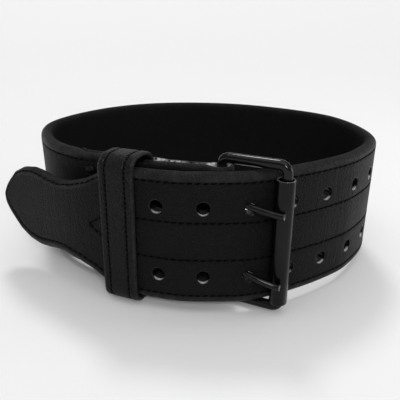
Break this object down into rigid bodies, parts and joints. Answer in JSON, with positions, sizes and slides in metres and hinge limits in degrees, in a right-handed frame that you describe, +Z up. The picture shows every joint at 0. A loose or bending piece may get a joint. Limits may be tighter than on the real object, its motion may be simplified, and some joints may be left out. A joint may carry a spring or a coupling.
{
  "type": "weightlifting belt",
  "caption": "Thick black leather lifting belt, buckled into an oval, with a roller buckle, a stitched keeper loop, two rows of holes and a rounded free tongue.",
  "frame": {"origin": "under the middle of the belt's overall box, on the surface that it stands on", "axes": "+Z up across the strap's width, -Y towards the buckle, -X towards the free tongue"},
  "size_m": [0.3198, 0.2622, 0.1186],
  "materials": {
    "band_leather": "black fine-grained leather with rounded burnished edges",
    "keeper_leather": "black smooth leather, a little glossier than the band",
    "buckle_metal": "black coated steel, semi-gloss",
    "rivet_metal": "black coated steel, semi-gloss"
  },
  "bodies": {
    "root": {"belt_band": "band_leather", "keeper_loop": "keeper_leather", "buckle_frame": "buckle_metal", "buckle_roller": "buckle_metal", "prong_upper": "buckle_metal", "prong_lower": "buckle_metal", "rivet_upper": "rivet_metal", "rivet_lower": "rivet_metal"}
  },
  "joints": []
}
